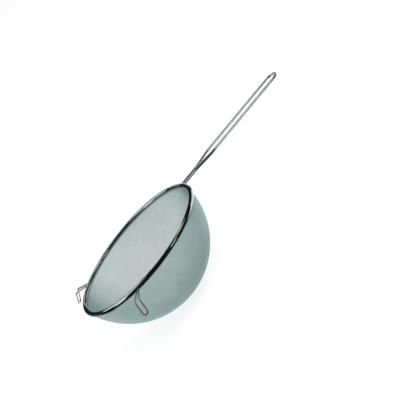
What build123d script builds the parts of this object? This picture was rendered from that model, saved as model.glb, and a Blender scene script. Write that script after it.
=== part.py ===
"""Round-bottomed wire mesh strainer: a rolled rim, two meshes, a looped wire handle and two pot rests."""

from build123d import *
from math import acos, asin, cos, degrees, radians, sin
import os

# The origin is the centre of the rim. +Z points up out of the bowl and +X runs out along the handle.

# Rim: a steel band rolled into a round bead and closed over a wire hoop.
rim_diameter = 260.0
bead_diameter = 8.0
band_wall = 0.7
hoop_diameter = 5.0

# Bowl: two meshes pressed to one round form, the fine one inside the strong one.
bowl_depth = 110.0
bottom_flat = 9.0
outer_mesh_thickness = 0.9
inner_mesh_thickness = 0.5
mesh_gap = 0.2
slit_clearance = 0.3
skirt_clearance = 0.2

# Bars: a few wide bars each way stand for the meshes' fine wires. A strip below the rim stays whole.
mesh_pitch = 43.25
mesh_bar_width = 12.0
mesh_edge_strip = 6.0

# Handle: one wire bent into a long hairpin, its two ends side by side on the rim.
handle_wire_diameter = 5.0
handle_length = 242.0
handle_width = 31.0
handle_slope = 4.8
neck_length = 33.0
neck_gap = 0.2
splay_length = 38.0
splay_bend_radius = 40.0

# Pot rests: two short hairpins of thinner wire on the far side of the rim.
rest_wire_diameter = 3.0
rest_angle = 123.0
rest_below_rim = 2.0
rest_gap = 0.2
rest_reach = 34.5
rest_rise = 1.5
rest_width = 12.4
rest_flare = 14.2
rest_drop = 16.2
rest_bend_radius = 5.0

weld_gap = 0.1
overrun = 2.0

# Counts. Round forms are drawn with flats, which keeps the model light.
rim_side_count = 44
bead_side_count = 12
hoop_side_count = 8
handle_side_count = 12
rest_side_count = 8
mesh_row_count = 7

# Places worked out from the sizes above.
bead_radius = bead_diameter / 2
rim_radius = rim_diameter / 2 - bead_radius
half_flat = 180 / rim_side_count
mesh_stack = outer_mesh_thickness + mesh_gap + inner_mesh_thickness
middle_depth = bowl_depth - mesh_stack / 2
middle_radius = (rim_radius**2 + middle_depth**2) / (2 * middle_depth)
sphere_height = middle_radius - middle_depth
outer_mesh_radius = middle_radius + mesh_stack / 2
inner_mesh_radius = outer_mesh_radius - outer_mesh_thickness - mesh_gap
mesh_top = -(hoop_diameter / 2 + skirt_clearance)
wall_lean = degrees(asin(sphere_height / middle_radius))
edge_angle = acos((sphere_height - mesh_top) / middle_radius) - mesh_edge_strip / middle_radius
edge_height = sphere_height - middle_radius * cos(edge_angle)
bars_each_side = round(middle_radius * edge_angle / mesh_pitch) - 1


def bowl_line(sphere_radius):
    """Corners round a sphere of this radius, from the flat at the bowl's bottom up to its top edge."""
    low_angle = asin(bottom_flat / sphere_radius)
    top_angle = acos((sphere_height - mesh_top) / sphere_radius)
    step = (top_angle - low_angle) / mesh_row_count
    angles = [low_angle + step * row for row in range(mesh_row_count + 1)]
    return [(sphere_radius * sin(angle), sphere_height - sphere_radius * cos(angle)) for angle in angles]


def rim_path():
    """The line that the rim's sections follow, with a flat facing the handle."""
    with BuildSketch() as outline:
        RegularPolygon(rim_radius, rim_side_count, major_radius=False, rotation=half_flat)
    return outline.face().outer_wire()


# Rim band: a rolled tube with a slit underneath, where its two lips close on the meshes.
with BuildPart() as rim_band:
    with BuildSketch(Plane.XZ):
        with Locations((rim_radius, 0)):
            RegularPolygon(bead_radius, bead_side_count, major_radius=False, rotation=180 / bead_side_count)
            RegularPolygon(
                bead_radius - band_wall,
                bead_side_count,
                major_radius=False,
                rotation=180 / bead_side_count,
                mode=Mode.SUBTRACT,
            )
        with Locations(Location((rim_radius, 0, 0), (0, 0, -wall_lean))):
            Rectangle(
                mesh_stack + 2 * slit_clearance,
                bead_radius + overrun,
                align=(Align.CENTER, Align.MAX),
                mode=Mode.SUBTRACT,
            )
    sweep(path=rim_path(), transition=Transition.RIGHT)

# Rim hoop: the stiff wire inside the band.
with BuildPart() as rim_hoop:
    with BuildSketch(Plane.XZ):
        with Locations((rim_radius, 0)):
            RegularPolygon(
                hoop_diameter / 2,
                hoop_side_count,
                major_radius=False,
                rotation=180 / hoop_side_count,
            )
    sweep(path=rim_path(), transition=Transition.RIGHT)

# Mesh bars: slabs through the top of the bowl's sphere, so that each crosses the bowl in a circle.
sphere_top = Pos(0, 0, sphere_height + middle_radius)
bar_length = 3 * outer_mesh_radius
with BuildPart() as mesh_bars:
    for turn in (0, 90):
        for bar in range(-bars_each_side, bars_each_side + 1):
            tilt = degrees(bar * mesh_pitch / middle_radius) / 2
            with Locations(sphere_top * Rot(0, 0, turn) * Rot(0, tilt, 0)):
                Box(mesh_bar_width, bar_length, bar_length, align=(Align.CENTER, Align.CENTER, Align.MAX))
    with Locations((0, 0, edge_height)):
        Cylinder(rim_diameter, rim_radius, align=(Align.CENTER, Align.CENTER, Align.MIN))

# Outer mesh: the coarser, stronger cloth, a sheet as thick as its crossed wires, cut to the bars.
outer_face = bowl_line(outer_mesh_radius)
outer_back = bowl_line(outer_mesh_radius - outer_mesh_thickness)
with BuildPart() as outer_mesh:
    with BuildSketch(Plane.XZ):
        with BuildLine():
            Polyline(*outer_face, *reversed(outer_back), close=True)
        make_face()
    sweep(path=rim_path(), transition=Transition.RIGHT)
    with BuildSketch(Plane.XY.offset(outer_face[0][1])):
        RegularPolygon(bottom_flat, rim_side_count, major_radius=False, rotation=half_flat)
    extrude(amount=outer_back[0][1] - outer_face[0][1])
    add(mesh_bars.part, mode=Mode.INTERSECT)

# Inner mesh: the fine cloth that strains, lying in the outer one.
inner_face = bowl_line(inner_mesh_radius)
inner_back = bowl_line(inner_mesh_radius - inner_mesh_thickness)
with BuildPart() as inner_mesh:
    with BuildSketch(Plane.XZ):
        with BuildLine():
            Polyline(*inner_face, *reversed(inner_back), close=True)
        make_face()
    sweep(path=rim_path(), transition=Transition.RIGHT)
    with BuildSketch(Plane.XY.offset(inner_face[0][1])):
        RegularPolygon(bottom_flat, rim_side_count, major_radius=False, rotation=half_flat)
    extrude(amount=inner_back[0][1] - inner_face[0][1])
    add(mesh_bars.part, mode=Mode.INTERSECT)

# Handle: from the rim the two wires run together as a neck, splay, run parallel and meet in a round loop.
handle_wire_radius = handle_wire_diameter / 2
neck_side = handle_wire_radius + neck_gap / 2
rail_side = handle_width / 2 - handle_wire_radius
rail_end = handle_length - handle_width / 2
slope_relief = handle_wire_radius * sin(radians(handle_slope))
handle_plane = Plane(
    origin=(rim_radius + bead_radius + weld_gap + slope_relief, 0, 0),
    x_dir=(cos(radians(handle_slope)), 0, -sin(radians(handle_slope))),
    z_dir=(sin(radians(handle_slope)), 0, cos(radians(handle_slope))),
)
with BuildPart() as handle_wire:
    with BuildLine(handle_plane) as hairpin:
        near_rail = FilletPolyline(
            (0, -neck_side),
            (neck_length, -neck_side),
            (neck_length + splay_length, -rail_side),
            (rail_end, -rail_side),
            radius=splay_bend_radius,
        )
        far_rail = FilletPolyline(
            (0, neck_side),
            (neck_length, neck_side),
            (neck_length + splay_length, rail_side),
            (rail_end, rail_side),
            radius=splay_bend_radius,
        )
        ThreePointArc((rail_end, -rail_side), (rail_end + rail_side, 0), (rail_end, rail_side))
    wire_end = handle_plane.from_local_coords((0, -neck_side, 0))
    with BuildSketch(Plane(origin=wire_end, z_dir=handle_plane.x_dir)):
        RegularPolygon(handle_wire_radius, handle_side_count, major_radius=False)
    sweep()

# Pot rests: two touching legs leave the rim, spread, turn down together and end in a round loop.
rest_wire_radius = rest_wire_diameter / 2
rest_start = rest_wire_radius + rest_gap / 2
rest_side = rest_width / 2 - rest_wire_radius
rest_corner = (rim_radius + bead_radius) / cos(radians(half_flat)) + weld_gap
turn_down = Vector(rest_flare, 0, -rest_drop).normalized()
tip_middle = Vector(rest_reach + rest_flare, 0, rest_rise - rest_drop)


def rest_hairpin(side):
    """The centre line of a pot rest's wire, on the side of the rim that the sign of side gives."""
    around = radians(rest_angle) * side
    plane = Plane(
        origin=(rest_corner * cos(around), rest_corner * sin(around), -rest_below_rim),
        x_dir=(cos(around), sin(around), 0),
        z_dir=(0, 0, 1),
    )
    across = Vector(0, rest_side, 0)
    with BuildLine() as line:
        for hand in (-1, 1):
            FilletPolyline(
                (0, hand * rest_start, 0),
                (rest_reach, hand * rest_side, rest_rise),
                tip_middle + across * hand,
                radius=rest_bend_radius,
            )
        ThreePointArc(tip_middle - across, tip_middle + turn_down * rest_side, tip_middle + across)
    return line.wire().moved(plane.location)


with BuildPart() as left_pot_rest:
    left_line = rest_hairpin(-1)
    with BuildSketch(Plane(origin=left_line @ 0, z_dir=left_line % 0)):
        RegularPolygon(rest_wire_radius, rest_side_count, major_radius=False)
    sweep(path=left_line)

with BuildPart() as right_pot_rest:
    right_line = rest_hairpin(1)
    with BuildSketch(Plane(origin=right_line @ 0, z_dir=right_line % 0)):
        RegularPolygon(rest_wire_radius, rest_side_count, major_radius=False)
    sweep(path=right_line)

rim_band.part.label = "rim_band"
rim_hoop.part.label = "rim_hoop"
outer_mesh.part.label = "outer_mesh"
inner_mesh.part.label = "inner_mesh"
handle_wire.part.label = "handle_wire"
left_pot_rest.part.label = "left_pot_rest"
right_pot_rest.part.label = "right_pot_rest"

os.makedirs("parts", exist_ok=True)
export_step(rim_band.part, "parts/rim_band.step")
export_step(rim_hoop.part, "parts/rim_hoop.step")
export_step(outer_mesh.part, "parts/outer_mesh.step")
export_step(inner_mesh.part, "parts/inner_mesh.step")
export_step(handle_wire.part, "parts/handle_wire.step")
export_step(left_pot_rest.part, "parts/left_pot_rest.step")
export_step(right_pot_rest.part, "parts/right_pot_rest.step")
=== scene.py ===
"""Looks of a round-bottomed mesh strainer: two woven cloths, a rolled rim, a wire handle and two rests."""

from math import acos, atan2, cos, pi, radians, sin, tan

import bmesh
import bpy
import numpy as np
from mathutils import Matrix, Vector


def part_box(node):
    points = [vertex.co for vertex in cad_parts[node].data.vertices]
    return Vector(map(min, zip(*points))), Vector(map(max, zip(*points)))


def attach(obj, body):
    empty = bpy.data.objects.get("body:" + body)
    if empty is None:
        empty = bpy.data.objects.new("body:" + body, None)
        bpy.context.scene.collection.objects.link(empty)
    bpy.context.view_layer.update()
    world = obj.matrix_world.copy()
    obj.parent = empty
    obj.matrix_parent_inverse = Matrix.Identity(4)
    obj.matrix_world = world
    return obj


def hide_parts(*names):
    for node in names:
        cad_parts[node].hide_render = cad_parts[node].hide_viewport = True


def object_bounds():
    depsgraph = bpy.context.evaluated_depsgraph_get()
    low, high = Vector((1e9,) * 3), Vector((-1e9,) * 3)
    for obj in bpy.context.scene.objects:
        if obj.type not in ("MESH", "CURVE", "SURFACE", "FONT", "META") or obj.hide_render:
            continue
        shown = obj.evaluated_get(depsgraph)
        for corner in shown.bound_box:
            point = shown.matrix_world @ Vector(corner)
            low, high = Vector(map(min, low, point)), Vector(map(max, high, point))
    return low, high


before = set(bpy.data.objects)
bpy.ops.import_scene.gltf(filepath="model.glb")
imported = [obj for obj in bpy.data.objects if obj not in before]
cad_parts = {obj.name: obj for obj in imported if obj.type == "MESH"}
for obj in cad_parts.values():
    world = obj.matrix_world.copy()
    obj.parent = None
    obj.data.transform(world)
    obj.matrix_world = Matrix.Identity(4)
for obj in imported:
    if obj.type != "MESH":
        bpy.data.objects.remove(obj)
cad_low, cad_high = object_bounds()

MM = 0.001

# The rim: a steel band rolled round a wire, read from the model's own size.
band_low, band_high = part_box("rim_band")
bead_radius = (band_high.z - band_low.z) / 2
rim_radius = band_high.x - bead_radius
band_wall = 0.7 * MM
band_segments = 288
band_section_steps = 44
lip_steps = 4
slit_width = 2.1 * MM

# The bowl: both cloths are pressed over one sphere, whose centre lies above the rim.
bowl_depth = 109.2 * MM
sphere_radius = (rim_radius**2 + bowl_depth**2) / (2 * bowl_depth)
sphere_height = sphere_radius - bowl_depth
cloth_edge_height = -1.2 * MM

# The cloths: wire diameter, distance between wires, offset from the sphere, turn about the bowl's axis,
# the number of pieces that the wires of one direction are shared out to, and the seed for their tones.
inner_wire_diameter = 0.25 * MM
inner_pitch = 1.0 * MM
inner_offset = -0.55 * MM
inner_turn = radians(8)
inner_parts = 3
inner_seed = 11
outer_wire_diameter = 0.45 * MM
outer_pitch = 1.8 * MM
outer_offset = 0.35 * MM
outer_turn = radians(37)
outer_parts = 1
outer_seed = 12
cloth_wire_sides = 3

# The handle: one wire bent to a hairpin that slopes down from the rim.
handle_wire_diameter = 5.0 * MM
handle_length = 242.0 * MM
handle_width = 31.0 * MM
handle_slope = radians(4.8)
neck_length = 33.0 * MM
neck_gap = 0.2 * MM
splay_length = 38.0 * MM
splay_bend_radius = 40.0 * MM
handle_wire_sides = 28
handle_point_spacing = 4 * MM

# The pot rests: two hairpins of thinner wire on the far side of the rim.
rest_wire_diameter = 3.0 * MM
rest_angle = radians(123)
rest_below_rim = 2.0 * MM
rest_gap = 0.2 * MM
rest_reach = 34.5 * MM
rest_rise = 1.5 * MM
rest_width = 12.4 * MM
rest_flare = 14.2 * MM
rest_drop = 16.2 * MM
rest_bend_radius = 5.0 * MM
rest_wire_sides = 20
rest_point_spacing = 2 * MM

bend_step = radians(6)

# The welds: how deep a wire's end sits in the bead, and the lump of weld metal over each end.
weld_depth = 1.6 * MM
weld_seat = 0.85 * bead_radius
weld_grain = 0.25 * MM
handle_weld_drop = 0.2 * MM
handle_weld_radii = (1.9 * MM, 3.2 * MM, 3.0 * MM)
rest_weld_radii = (1.4 * MM, 2.0 * MM, 1.9 * MM)

# The photograph's view: where the camera stands and how far it is rolled.
view_azimuth = radians(-13.4)
view_elevation = radians(18.2)
view_roll = radians(-51.0)
view_distance = 3.15
aim_right = 98.4 * MM
aim_up = 77.9 * MM
view_lens = 179.6

# The stage, in metres: a floor, and the walls of an open black box that shiny metal shows.
floor_gap = 0.2 * MM
floor_reach = 14.0
left_wall = -0.85
right_wall = 0.85
front_wall = -1.2
back_wall = 0.6
roof = 0.5


def input_socket(tree, name, kind, value):
    """Adds a named input to a node tree, with its first value."""
    socket = tree.interface.new_socket(name=name, in_out="INPUT", socket_type=kind)
    if value is not None:
        socket.default_value = value


def new_tree(name):
    """An empty Geometry Nodes tree with a geometry input and output."""
    tree = bpy.data.node_groups.new(name, "GeometryNodeTree")
    tree.interface.new_socket(name="Geometry", in_out="INPUT", socket_type="NodeSocketGeometry")
    tree.interface.new_socket(name="Geometry", in_out="OUTPUT", socket_type="NodeSocketGeometry")
    return tree


def math_node(tree, operation, first, second):
    """A math node whose two values are sockets or numbers. Returns its result."""
    node = tree.nodes.new("ShaderNodeMath")
    node.operation = operation
    for socket, value in zip(node.inputs, (first, second)):
        if isinstance(value, (int, float)):
            socket.default_value = value
        else:
            tree.links.new(value, socket)
    return node.outputs[0]


def wire_tree():
    """Geometry Nodes: lifts a line's points along their outward directions and gives it a round section."""
    tree = new_tree("Wire along a line")
    input_socket(tree, "Diameter", "NodeSocketFloat", 1 * MM)
    input_socket(tree, "Sides", "NodeSocketInt", 12)
    input_socket(tree, "Finish", "NodeSocketMaterial", None)
    given = tree.nodes.new("NodeGroupInput")
    result = tree.nodes.new("NodeGroupOutput")
    radius = math_node(tree, "DIVIDE", given.outputs["Diameter"], 2.0)

    lift = tree.nodes.new("GeometryNodeInputNamedAttribute")
    lift.data_type = "FLOAT_VECTOR"
    lift.inputs["Name"].default_value = "lift"
    scaled = tree.nodes.new("ShaderNodeVectorMath")
    scaled.operation = "SCALE"
    tree.links.new(lift.outputs["Attribute"], scaled.inputs[0])
    tree.links.new(radius, scaled.inputs["Scale"])
    moved = tree.nodes.new("GeometryNodeSetPosition")
    tree.links.new(given.outputs["Geometry"], moved.inputs["Geometry"])
    tree.links.new(scaled.outputs["Vector"], moved.inputs["Offset"])

    line = tree.nodes.new("GeometryNodeMeshToCurve")
    tree.links.new(moved.outputs["Geometry"], line.inputs["Mesh"])

    along = tree.nodes.new("GeometryNodeSplineParameter")
    keep_along = tree.nodes.new("GeometryNodeStoreNamedAttribute")
    keep_along.data_type = "FLOAT"
    keep_along.domain = "POINT"
    keep_along.inputs["Name"].default_value = "along"
    tree.links.new(line.outputs["Curve"], keep_along.inputs["Geometry"])
    tree.links.new(along.outputs["Length"], keep_along.inputs["Value"])

    section = tree.nodes.new("GeometryNodeCurvePrimitiveCircle")
    tree.links.new(given.outputs["Sides"], section.inputs["Resolution"])
    tree.links.new(radius, section.inputs["Radius"])
    turn = tree.nodes.new("GeometryNodeSplineParameter")
    keep_turn = tree.nodes.new("GeometryNodeStoreNamedAttribute")
    keep_turn.data_type = "FLOAT"
    keep_turn.domain = "POINT"
    keep_turn.inputs["Name"].default_value = "around"
    tree.links.new(section.outputs["Curve"], keep_turn.inputs["Geometry"])
    tree.links.new(turn.outputs["Factor"], keep_turn.inputs["Value"])

    tube = tree.nodes.new("GeometryNodeCurveToMesh")
    tube.inputs["Fill Caps"].default_value = True
    tree.links.new(keep_along.outputs["Geometry"], tube.inputs["Curve"])
    tree.links.new(keep_turn.outputs["Geometry"], tube.inputs["Profile Curve"])
    smooth = tree.nodes.new("GeometryNodeSetShadeSmooth")
    tree.links.new(tube.outputs["Mesh"], smooth.inputs["Geometry"])
    real = tree.nodes.new("GeometryNodeRealizeInstances")
    tree.links.new(smooth.outputs["Geometry"], real.inputs["Geometry"])
    painted = tree.nodes.new("GeometryNodeSetMaterial")
    tree.links.new(real.outputs["Geometry"], painted.inputs["Geometry"])
    tree.links.new(given.outputs["Finish"], painted.inputs["Material"])
    tree.links.new(painted.outputs["Geometry"], result.inputs["Geometry"])
    return tree


def grown(name, lines, tree, settings):
    """Runs a Geometry Nodes tree on lines and returns the result as a plain mesh object.

    Each line is (points, lifts, shade): lists of vectors, and one number that tells strands apart.
    """
    points, lifts, shades, edges = [], [], [], []
    for line_points, line_lifts, shade in lines:
        first = len(points)
        points.extend(line_points)
        lifts.extend(line_lifts)
        shades.extend([shade] * len(line_points))
        edges.extend((first + k, first + k + 1) for k in range(len(line_points) - 1))
    mesh = bpy.data.meshes.new(name)
    mesh.from_pydata([tuple(p) for p in points], edges, [])
    lift = mesh.attributes.new("lift", "FLOAT_VECTOR", "POINT")
    lift.data.foreach_set("vector", np.array(lifts, np.float32).ravel())
    strand = mesh.attributes.new("strand", "FLOAT", "POINT")
    strand.data.foreach_set("value", np.array(shades, np.float32))
    piece = bpy.data.objects.new(name, mesh)
    bpy.context.scene.collection.objects.link(piece)
    modifier = piece.modifiers.new("Wire", "NODES")
    modifier.node_group = tree
    for item in tree.interface.items_tree:
        if item.in_out == "INPUT" and item.name in settings:
            modifier[item.identifier] = settings[item.name]
    bpy.context.view_layer.update()
    evaluated = piece.evaluated_get(bpy.context.evaluated_depsgraph_get())
    plain = bpy.data.meshes.new_from_object(evaluated)
    piece.modifiers.remove(modifier)
    piece.data = plain
    bpy.data.meshes.remove(mesh)
    plain.name = name
    return piece


def noise_node(tree, coordinates, scale, detail=2.0):
    """A noise texture read at the given coordinates. Returns its value."""
    node = tree.nodes.new("ShaderNodeTexNoise")
    node.inputs["Scale"].default_value = scale
    node.inputs["Detail"].default_value = detail
    tree.links.new(coordinates, node.inputs["Vector"])
    return node.outputs["Fac"]


def ranged(tree, value, low, high, start=0.3, end=0.7):
    """Maps a value from start..end to low..high."""
    node = tree.nodes.new("ShaderNodeMapRange")
    node.inputs["From Min"].default_value = start
    node.inputs["From Max"].default_value = end
    node.inputs["To Min"].default_value = low
    node.inputs["To Max"].default_value = high
    tree.links.new(value, node.inputs["Value"])
    return node.outputs["Result"]


def blended(tree, amount, first, second):
    """A colour that runs from first to second as amount goes from 0 to 1."""
    node = tree.nodes.new("ShaderNodeMix")
    node.data_type = "RGBA"
    node.inputs["A"].default_value = (*first, 1.0)
    node.inputs["B"].default_value = (*second, 1.0)
    tree.links.new(amount, node.inputs["Factor"])
    return node.outputs["Result"]


def attribute_node(tree, name):
    """A number stored on the mesh."""
    node = tree.nodes.new("ShaderNodeAttribute")
    node.attribute_name = name
    return node.outputs["Fac"]


def metal(name, metallic=1.0):
    """A bare metal material. Returns it with its tree and its shader."""
    material = bpy.data.materials.new(name)
    material.use_nodes = True
    tree = material.node_tree
    shader = tree.nodes["Principled BSDF"]
    shader.inputs["Metallic"].default_value = metallic
    return material, tree, shader


def bumped(tree, shader, height, distance):
    """Adds a fine relief to a shader."""
    node = tree.nodes.new("ShaderNodeBump")
    node.inputs["Strength"].default_value = 0.35
    node.inputs["Distance"].default_value = distance
    tree.links.new(height, node.inputs["Height"])
    tree.links.new(node.outputs["Normal"], shader.inputs["Normal"])


def plated_wire_finish(name, bright, dull):
    """Nickel plate on drawn wire: fine streaks run along the wire, and the plate's tone drifts a little."""
    material, tree, shader = metal(name, 0.95)
    streak_place = tree.nodes.new("ShaderNodeCombineXYZ")
    along = math_node(tree, "MULTIPLY", attribute_node(tree, "along"), 45.0)
    around = math_node(tree, "MULTIPLY", attribute_node(tree, "around"), 9.0)
    tree.links.new(along, streak_place.inputs["X"])
    tree.links.new(around, streak_place.inputs["Y"])
    streaks = noise_node(tree, streak_place.outputs["Vector"], 3.0, 4.0)
    place = tree.nodes.new("ShaderNodeTexCoord").outputs["Object"]
    drift = noise_node(tree, place, 60.0)
    tree.links.new(blended(tree, ranged(tree, drift, 0.0, 1.0), bright, dull), shader.inputs["Base Color"])
    tree.links.new(ranged(tree, streaks, 0.08, 0.16), shader.inputs["Roughness"])
    bumped(tree, shader, streaks, 0.03 * MM)
    return material


def plated_band_finish():
    """Bright plate on the rolled band: nearly a mirror, with a faint fine speckle in its roughness and
    relief.
    """
    material, tree, shader = metal("bright_plate")
    place = tree.nodes.new("ShaderNodeTexCoord").outputs["Object"]
    drift = noise_node(tree, place, 35.0)
    speckle = noise_node(tree, place, 900.0, 4.0)
    shade = ranged(tree, drift, 0.0, 1.0)
    tree.links.new(blended(tree, shade, (0.56, 0.62, 0.61), (0.48, 0.54, 0.535)), shader.inputs["Base Color"])
    tree.links.new(ranged(tree, speckle, 0.05, 0.12), shader.inputs["Roughness"])
    bumped(tree, shader, speckle, 0.01 * MM)
    return material


def drawn_steel_finish():
    """Plain drawn steel of the hoop inside the rim: dull, with soft patches."""
    material, tree, shader = metal("drawn_steel")
    place = tree.nodes.new("ShaderNodeTexCoord").outputs["Object"]
    patches = noise_node(tree, place, 80.0, 3.0)
    shade = ranged(tree, patches, 0.0, 1.0)
    tree.links.new(blended(tree, shade, (0.46, 0.48, 0.48), (0.34, 0.36, 0.36)), shader.inputs["Base Color"])
    tree.links.new(ranged(tree, patches, 0.3, 0.45), shader.inputs["Roughness"])
    return material


def cloth_finish(name, bright, dull):
    """Satin wire of the woven cloth: each wire a little different, with soft patches from the pressing."""
    material, tree, shader = metal(name, 0.25)
    place = tree.nodes.new("ShaderNodeTexCoord").outputs["Object"]
    patches = noise_node(tree, place, 28.0, 3.0)
    strand = attribute_node(tree, "strand")
    wire_share = math_node(tree, "MULTIPLY", strand, 0.4)
    shade = math_node(tree, "ADD", ranged(tree, patches, 0.0, 0.6), wire_share)
    tree.links.new(blended(tree, shade, bright, dull), shader.inputs["Base Color"])
    tree.links.new(ranged(tree, patches, 0.45, 0.6), shader.inputs["Roughness"])
    return material


def weld_finish():
    """The dull, slightly grainy skin of a plated weld."""
    material, tree, shader = metal("weld_skin")
    place = tree.nodes.new("ShaderNodeTexCoord").outputs["Object"]
    grain = noise_node(tree, place, 1500.0, 3.0)
    shade = ranged(tree, grain, 0.0, 1.0)
    tree.links.new(blended(tree, shade, (0.56, 0.61, 0.6), (0.4, 0.44, 0.44)), shader.inputs["Base Color"])
    tree.links.new(ranged(tree, grain, 0.25, 0.45), shader.inputs["Roughness"])
    bumped(tree, shader, grain, 0.08 * MM)
    return material


def cloth_net(pitch, top_angle):
    """One quarter of a square cloth laid over a unit sphere without stretching its wires.

    Entry [i, j] is the crossing of wires i and j. The wires keep their length, so the squares lean over
    to diamonds away from the two middle wires.
    """
    step = pitch / sphere_radius
    count = int(top_angle / step) + 2
    angles = step * np.arange(count + 1)
    net = np.zeros((count + 1, count + 1, 3))
    net[:, 0] = np.stack([np.sin(angles), np.zeros_like(angles), -np.cos(angles)], axis=1)
    net[0, :] = np.stack([np.zeros_like(angles), np.sin(angles), -np.cos(angles)], axis=1)
    for diagonal in range(2, 2 * count + 1):
        i = np.arange(max(1, diagonal - count), min(diagonal - 1, count) + 1)
        j = diagonal - i
        fold = np.cross(net[i, j - 1], net[i - 1, j])
        fold /= np.maximum(np.linalg.norm(fold, axis=1, keepdims=True), 1e-9)
        back = net[i - 1, j - 1]
        net[i, j] = back - 2 * np.sum(back * fold, axis=1, keepdims=True) * fold
    return net


def cloth_wires(pitch, offset, turn, rng):
    """The wires of one cloth, one direction and then the other, each wire as (points, lifts, shade)."""
    radius = sphere_radius + offset
    top_angle = acos((sphere_height - cloth_edge_height) / radius)
    net = cloth_net(pitch, top_angle)
    count = len(net) - 1
    lowest = cos(top_angle)
    spin = np.array(Matrix.Rotation(turn, 3, "Z"))
    directions = []
    for across in (False, True):
        wires = []
        for index in range(-count, count + 1):
            place = np.arange(-count, count + 1)
            if across:
                points = net[np.abs(place), abs(index)].copy()
                points[:, 0] *= np.where(place < 0, -1, 1)
                points[:, 1] *= -1 if index < 0 else 1
            else:
                points = net[abs(index), np.abs(place)].copy()
                points[:, 0] *= -1 if index < 0 else 1
                points[:, 1] *= np.where(place < 0, -1, 1)
            inside = -points[:, 2] >= lowest
            middle = count
            if not inside[middle]:
                continue
            low = middle
            while low > 0 and inside[low - 1]:
                low -= 1
            high = middle
            while high < 2 * count and inside[high + 1]:
                high += 1
            if high - low < 2:
                continue
            out = points[low : high + 1] @ spin.T
            side = np.where((place[low : high + 1] + index) % 2 == 0, 1.0, -1.0)
            if across:
                side = -side
            centre = np.array([0.0, 0.0, sphere_height])
            wires.append((out * radius + centre, out * side[:, None], rng.random()))
        directions.append(wires)
    return directions


def shared_out(wires, parts):
    """Splits wires, in order, into parts of nearly equal length."""
    total = sum(len(points) for points, _, _ in wires)
    groups = [[] for _ in range(parts)]
    so_far = 0
    for wire in wires:
        groups[min(parts - 1, so_far * parts // total)].append(wire)
        so_far += len(wire[0])
    return groups


def woven_cloth(name, node, sizes, finish, tree):
    """Both directions of one cloth, each in a few pieces, woven over and under."""
    diameter, pitch, offset, turn, parts, seed = sizes
    rng = np.random.default_rng(seed)
    pieces = []
    for direction, wires in zip(("warp", "weft"), cloth_wires(pitch, offset, turn, rng)):
        for number, group in enumerate(shared_out(wires, parts), 1):
            settings = {"Diameter": diameter, "Sides": cloth_wire_sides, "Finish": finish}
            piece = grown(f"{name}_{direction}_{number}", group, tree, settings)
            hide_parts(node)
            pieces.append(piece)
    return pieces


def rounded_line(corners, radius):
    """Points along straight runs whose corners are rounded to an arc of this radius."""
    corners = [Vector(c) for c in corners]
    points = [corners[0]]
    for before, corner, after in zip(corners, corners[1:], corners[2:]):
        inward = (before - corner).normalized()
        outward = (after - corner).normalized()
        turn = pi - inward.angle(outward)
        reach = radius * tan(turn / 2)
        middle = corner + (inward + outward).normalized() * (radius / cos(turn / 2))
        start = corner + inward * reach - middle
        axis = start.cross(corner + outward * reach - middle).normalized()
        steps = max(2, int(turn / bend_step) + 1)
        for step in range(steps + 1):
            points.append(middle + Matrix.Rotation(turn * step / steps, 3, axis) @ start)
    points.append(corners[-1])
    return points


def half_loop(start, end, tip):
    """Points round the half circle from start to end that passes tip."""
    middle = (start + end) / 2
    side = start - middle
    forward = tip - middle
    steps = int(pi / bend_step)
    return [middle + side * cos(pi * k / steps) + forward * sin(pi * k / steps) for k in range(1, steps)]


def spaced(points, longest):
    """The same line with extra points, so that no run is longer than this."""
    line = [points[0]]
    for start, end in zip(points, points[1:]):
        steps = max(1, int((end - start).length / longest + 0.5))
        line.extend(start.lerp(end, k / steps) for k in range(1, steps + 1))
    return line


def handle_line():
    """The centre line of the handle's wire, from one end on the rim round to the other."""
    wire_radius = handle_wire_diameter / 2
    neck_side = wire_radius + neck_gap / 2
    rail_side = handle_width / 2 - wire_radius
    rail_end = handle_length - handle_width / 2
    along = Vector((cos(handle_slope), 0, -sin(handle_slope)))
    origin = Vector((rim_radius + bead_radius - weld_depth, 0, 0))

    def place(forward, side):
        return origin + along * (forward + weld_depth) + Vector((0, side, 0))

    def rail(hand):
        corners = [
            place(-weld_depth, hand * neck_side),
            place(neck_length, hand * neck_side),
            place(neck_length + splay_length, hand * rail_side),
            place(rail_end, hand * rail_side),
        ]
        return rounded_line(corners, splay_bend_radius)

    near, far = rail(-1), rail(1)
    tip = place(rail_end + rail_side, 0)
    return spaced(near + half_loop(near[-1], far[-1], tip) + far[::-1], handle_point_spacing)


def rest_line(side):
    """The centre line of a pot rest's wire, on the side of the rim that the sign of side gives."""
    wire_radius = rest_wire_diameter / 2
    start_side = wire_radius + rest_gap / 2
    loop_side = rest_width / 2 - wire_radius
    around = rest_angle * side
    out = Vector((cos(around), sin(around), 0))
    across = Vector((-sin(around), cos(around), 0))
    up = Vector((0, 0, 1))
    origin = out * (rim_radius + bead_radius) - up * rest_below_rim
    turn_down = (out * rest_flare - up * rest_drop).normalized()
    tip = origin + out * (rest_reach + rest_flare) + up * (rest_rise - rest_drop)

    def leg(hand):
        corners = [
            origin - out * weld_depth + across * hand * start_side,
            origin + out * rest_reach + up * rest_rise + across * hand * loop_side,
            tip + across * hand * loop_side,
        ]
        return rounded_line(corners, rest_bend_radius)

    near, far = leg(-1), leg(1)
    loop = half_loop(near[-1], far[-1], tip + turn_down * loop_side)
    return spaced(near + loop + far[::-1], rest_point_spacing)


def bent_wire(name, node, line, sizes, finish, tree):
    """A thick bent wire in place of a model node."""
    diameter, sides = sizes
    unlifted = [(0.0, 0.0, 0.0)] * len(line)
    settings = {"Diameter": diameter, "Sides": sides, "Finish": finish}
    piece = grown(name, [(line, unlifted, 0.0)], tree, settings)
    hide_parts(node)
    return piece


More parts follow.
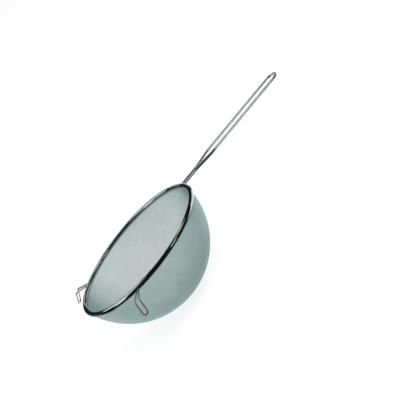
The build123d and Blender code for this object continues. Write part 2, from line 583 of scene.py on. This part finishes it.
def band_section():
    """The rolled band's closed outline, as points (x, z) from the bead's middle.

    It runs round the outside from one lip to the other and back along the inside, with rounded lips.
    """
    lean = atan2(sphere_height, rim_radius)
    down = -pi / 2 - lean
    inner_radius = bead_radius - band_wall
    lip = band_wall / 2
    middle_radius = bead_radius - lip
    half_slit = (slit_width / 2 + lip) / middle_radius
    step = (2 * pi - 2 * half_slit) / band_section_steps
    outside = [down + half_slit + step * k for k in range(band_section_steps + 1)]
    points = [(bead_radius * cos(a), bead_radius * sin(a)) for a in outside]
    last = outside[-1]
    for k in range(1, lip_steps):
        turn = pi * k / lip_steps
        r = middle_radius + lip * cos(turn)
        bulge = lip * sin(turn)
        points.append((r * cos(last) - bulge * sin(last), r * sin(last) + bulge * cos(last)))
    points.extend((inner_radius * cos(a), inner_radius * sin(a)) for a in reversed(outside))
    first = outside[0]
    for k in range(1, lip_steps):
        turn = pi - pi * k / lip_steps
        r = middle_radius + lip * cos(turn)
        bulge = lip * sin(turn)
        points.append((r * cos(first) + bulge * sin(first), r * sin(first) - bulge * cos(first)))
    return points


def rolled_rim(finish):
    """The rim's band: its section carried once round the bowl."""
    section = band_section()
    work = bmesh.new()
    rings = []
    for k in range(band_segments):
        turn = 2 * pi * k / band_segments
        corners = [((rim_radius + x) * cos(turn), (rim_radius + x) * sin(turn), z) for x, z in section]
        rings.append([work.verts.new(corner) for corner in corners])
    size = len(section)
    for ring, following in zip(rings, rings[1:] + rings[:1]):
        for k in range(size):
            face = work.faces.new((ring[k], following[k], following[(k + 1) % size], ring[(k + 1) % size]))
            face.smooth = True
    bmesh.ops.recalc_face_normals(work, faces=work.faces)
    mesh = bpy.data.meshes.new("rolled_band")
    work.to_mesh(mesh)
    work.free()
    mesh.materials.append(finish)
    piece = bpy.data.objects.new("rolled_band", mesh)
    bpy.context.scene.collection.objects.link(piece)
    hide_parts("rim_band")
    return piece


def weld_lump(name, spots, finish):
    """A small fused lump of weld metal over spots, each (centre, radii)."""
    work = bmesh.new()
    for centre, radii in spots:
        ball = bmesh.ops.create_icosphere(work, subdivisions=3, radius=1.0)["verts"]
        bmesh.ops.scale(work, vec=radii, verts=ball)
        turn = Matrix.Rotation(atan2(centre[1], centre[0]), 3, "Z")
        bmesh.ops.rotate(work, verts=ball, cent=(0, 0, 0), matrix=turn)
        bmesh.ops.translate(work, vec=centre, verts=ball)
    mesh = bpy.data.meshes.new(name)
    work.to_mesh(mesh)
    work.free()
    piece = bpy.data.objects.new(name, mesh)
    bpy.context.scene.collection.objects.link(piece)
    fuse = piece.modifiers.new("Fuse", "REMESH")
    fuse.mode = "VOXEL"
    fuse.voxel_size = weld_grain
    fuse.use_smooth_shade = True
    soften = piece.modifiers.new("Soften", "SMOOTH")
    soften.iterations = 4
    bpy.context.view_layer.update()
    evaluated = piece.evaluated_get(bpy.context.evaluated_depsgraph_get())
    plain = bpy.data.meshes.new_from_object(evaluated)
    piece.modifiers.clear()
    piece.data = plain
    plain.materials.clear()
    plain.materials.append(finish)
    return piece


def handle_weld(finish):
    """Weld metal where the handle's two ends meet the bead."""
    side = handle_wire_diameter / 2
    centre = Vector((rim_radius + weld_seat, 0, -handle_weld_drop))
    spots = [(centre + Vector((0, hand * side, 0)), handle_weld_radii) for hand in (-1, 1)]
    return weld_lump("handle_weld", spots, finish)


def rest_weld(name, side, finish):
    """Weld metal where a pot rest's two legs meet the bead."""
    around = rest_angle * side
    out = Vector((cos(around), sin(around), 0))
    across = Vector((-sin(around), cos(around), 0))
    centre = out * (rim_radius + weld_seat) - Vector((0, 0, rest_below_rim))
    reach = rest_wire_diameter / 2
    spots = [(centre + across * hand * reach, rest_weld_radii) for hand in (-1, 1)]
    return weld_lump(name, spots, finish)


def seen_rays(tree):
    """1 for rays that the camera, a mirror or a clear thing sends out, 0 for those that light surfaces."""
    path = tree.nodes.new("ShaderNodeLightPath")
    total = math_node(tree, "ADD", path.outputs["Is Camera Ray"], path.outputs["Is Glossy Ray"])
    total = math_node(tree, "ADD", total, path.outputs["Is Transmission Ray"])
    return math_node(tree, "MINIMUM", total, 1.0)


def white_world():
    """A white surround to the eye that lights the object at a plain level."""
    world = bpy.data.worlds.new("studio")
    bpy.context.scene.world = world
    world.use_nodes = True
    tree = world.node_tree
    background = tree.nodes["Background"]
    background.inputs["Color"].default_value = (1.0, 1.0, 1.0, 1.0)
    tree.links.new(ranged(tree, seen_rays(tree), 0.55, 1.0, 0.0, 1.0), background.inputs["Strength"])


def floor():
    """A pale floor that keeps the object's soft shadow."""
    mesh = bpy.data.meshes.new("floor")
    level = cad_low.z - floor_gap
    corners = [(x * floor_reach, y * floor_reach, level) for x, y in ((-1, -1), (1, -1), (1, 1), (-1, 1))]
    mesh.from_pydata(corners, [], [(0, 1, 2, 3)])
    material = bpy.data.materials.new("pale_floor")
    material.use_nodes = True
    tree = material.node_tree
    tree.nodes.clear()
    paper = tree.nodes.new("ShaderNodeBsdfDiffuse")
    paper.inputs["Color"].default_value = (0.5, 0.5, 0.5, 1.0)
    glow = tree.nodes.new("ShaderNodeEmission")
    tree.links.new(ranged(tree, seen_rays(tree), 0.25, 0.68, 0.0, 1.0), glow.inputs["Strength"])
    both = tree.nodes.new("ShaderNodeAddShader")
    tree.links.new(paper.outputs["BSDF"], both.inputs[0])
    tree.links.new(glow.outputs["Emission"], both.inputs[1])
    end = tree.nodes.new("ShaderNodeOutputMaterial")
    tree.links.new(both.outputs["Shader"], end.inputs["Surface"])
    mesh.materials.append(material)
    piece = bpy.data.objects.new("floor", mesh)
    bpy.context.scene.collection.objects.link(piece)


def camera_axes():
    """The camera's right, up and back directions."""
    back = Vector(
        (
            sin(view_azimuth) * cos(view_elevation),
            -cos(view_azimuth) * cos(view_elevation),
            sin(view_elevation),
        )
    )
    level = Vector((cos(view_azimuth), sin(view_azimuth), 0))
    upright = back.cross(level)
    right = level * cos(view_roll) + upright * sin(view_roll)
    return right, back.cross(right), back


def camera():
    """The camera at the photograph's place."""
    right, up, back = camera_axes()
    data = bpy.data.cameras.new("camera")
    data.lens = view_lens
    data.sensor_width = 36.0
    data.clip_end = 100.0
    eye = bpy.data.objects.new("camera", data)
    bpy.context.scene.collection.objects.link(eye)
    place = back * view_distance + right * aim_right + up * aim_up
    turn = Matrix((right, up, back)).transposed().to_4x4()
    eye.matrix_world = Matrix.Translation(place) @ turn
    bpy.context.scene.camera = eye


def softbox(name, place, aim, size, power):
    """A square area light, which shiny surfaces don't show."""
    data = bpy.data.lights.new(name, "AREA")
    data.shape = "SQUARE"
    data.size = size
    data.energy = power
    light = bpy.data.objects.new(name, data)
    bpy.context.scene.collection.objects.link(light)
    light.location = place
    light.rotation_euler = (Vector(aim) - Vector(place)).to_track_quat("-Z", "Y").to_euler()
    light.visible_glossy = False


def card_material():
    """Matt black card."""
    material = bpy.data.materials.new("black_card")
    material.use_nodes = True
    shader = material.node_tree.nodes["Principled BSDF"]
    shader.inputs["Base Color"].default_value = (0.012, 0.016, 0.016, 1.0)
    shader.inputs["Roughness"].default_value = 1.0
    shader.inputs["Specular IOR Level"].default_value = 0.0
    return material


def black_card(name, start, end, material):
    """An upright or level black card between two opposite corners, seen by shiny surfaces alone."""
    low = Vector(start)
    high = Vector(end)
    if low.z == high.z:
        corners = [low, (high.x, low.y, low.z), high, (low.x, high.y, low.z)]
    else:
        corners = [low, (high.x, high.y, low.z), high, (low.x, low.y, high.z)]
    mesh = bpy.data.meshes.new(name)
    mesh.from_pydata([tuple(c) for c in corners], [], [(0, 1, 2, 3)])
    mesh.materials.append(material)
    card = bpy.data.objects.new(name, mesh)
    bpy.context.scene.collection.objects.link(card)
    for ray in ("camera", "diffuse", "transmission", "shadow", "volume_scatter"):
        setattr(card, f"visible_{ray}", False)


def black_box():
    """Black cards round the object, as an open box. What shiny metal shows through the gaps is white."""
    black = card_material()
    ground = cad_low.z - floor_gap / 2
    cards = (
        ("floor_card", (left_wall, front_wall, ground), (right_wall, -0.13, ground)),
        ("left_floor_card", (left_wall, -0.13, ground), (0.0, 0.1, ground)),
        ("splay_floor_card", (0.0, -0.13, ground), (0.19, 0.1, ground)),
        ("back_floor_card", (left_wall, 0.1, ground), (-0.2, back_wall, ground)),
        ("front_card", (left_wall, front_wall, ground), (0.4, front_wall, roof)),
        ("front_right_card", (0.74, front_wall, ground), (right_wall, front_wall, roof)),
        ("far_front_roof_card", (left_wall, front_wall, roof), (right_wall, -0.6, roof)),
        ("front_roof_card", (left_wall, -0.6, roof), (0.36, -0.15, roof)),
        ("front_right_roof_card", (0.66, -0.6, roof), (right_wall, -0.15, roof)),
        ("middle_roof_card", (-0.15, -0.15, roof), (0.0, back_wall, roof)),
        ("short_roof_card", (0.0, -0.15, roof), (0.3, 0.08, roof)),
        ("right_roof_card", (0.3, -0.15, roof), (right_wall, back_wall, roof)),
        ("left_front_card", (left_wall, front_wall, ground), (left_wall, -0.28, roof)),
        ("left_low_card", (left_wall, -0.28, ground), (left_wall, 0.05, 0.02)),
        ("left_back_card", (left_wall, 0.05, ground), (left_wall, back_wall, roof)),
        ("right_front_card", (right_wall, front_wall, ground), (right_wall, -0.05, roof)),
        ("right_high_card", (right_wall, -0.05, 0.2), (right_wall, back_wall, roof)),
        ("back_low_card", (left_wall, back_wall, -0.03), (0.28, back_wall, 0.25)),
        ("back_middle_card", (0.28, back_wall, 0.12), (0.58, back_wall, 0.25)),
        ("back_right_card", (0.58, back_wall, ground), (right_wall, back_wall, roof)),
        ("back_high_left_card", (left_wall, back_wall, 0.25), (0.0, back_wall, roof)),
        ("back_high_right_card", (0.25, back_wall, 0.25), (0.58, back_wall, roof)),
    )
    for name, start, end in cards:
        black_card(name, start, end, black)


def lamps():
    """Soft lamps from above, in front and both sides."""
    softbox("key", (0.3, -1.2, 1.6), (0, 0, 0), 1.2, 7.5)
    softbox("front", (-0.4, -2.0, 0.1), (0, 0, -0.05), 1.0, 9)
    softbox("right", (1.9, -0.2, 0.9), (0, 0, 0), 1.0, 15)
    softbox("left", (-1.7, -1.2, 0.15), (0, 0, -0.06), 1.0, 13)


camera()
white_world()
floor()
black_box()
lamps()

wires = wire_tree()
band_metal = plated_band_finish()
handle_metal = plated_wire_finish("plated_wire", (0.78, 0.86, 0.85), (0.68, 0.76, 0.755))
rest_metal = plated_wire_finish("plated_rest_wire", (0.66, 0.73, 0.72), (0.58, 0.65, 0.645))
# Both cloths are the same steel wire. The inner cloth's colour is painted darker as painted shade on the lit
# inside of the bowl, and the outer cloth's is painted lighter as painted light on its shaded outside.
inner_cloth_painted_shade = cloth_finish("inner_cloth_wire_painted_shade", (0.44, 0.66, 0.645), (0.37, 0.56, 0.545))
outer_cloth_painted_light = cloth_finish("outer_cloth_wire_painted_light", (0.72, 0.9, 0.885), (0.62, 0.78, 0.765))
weld_metal = weld_finish()

inner_sizes = (inner_wire_diameter, inner_pitch, inner_offset, inner_turn, inner_parts, inner_seed)
outer_sizes = (outer_wire_diameter, outer_pitch, outer_offset, outer_turn, outer_parts, outer_seed)
pieces = woven_cloth("inner_cloth", "inner_mesh", inner_sizes, inner_cloth_painted_shade, wires)
pieces += woven_cloth("outer_cloth", "outer_mesh", outer_sizes, outer_cloth_painted_light, wires)
pieces.append(rolled_rim(band_metal))
handle_sizes = (handle_wire_diameter, handle_wire_sides)
rest_sizes = (rest_wire_diameter, rest_wire_sides)
line = handle_line()
pieces.append(bent_wire("bent_handle", "handle_wire", line, handle_sizes, handle_metal, wires))
for name, node, side in (("left_rest", "left_pot_rest", -1), ("right_rest", "right_pot_rest", 1)):
    pieces.append(bent_wire(name, node, rest_line(side), rest_sizes, rest_metal, wires))
    pieces.append(rest_weld(f"{name}_weld", side, weld_metal))
pieces.append(handle_weld(weld_metal))
for piece in pieces:
    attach(piece, "root")

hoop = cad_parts["rim_hoop"]
hoop.data.materials.clear()
hoop.data.materials.append(drawn_steel_finish())

bpy.context.scene.view_settings.view_transform = "Standard"
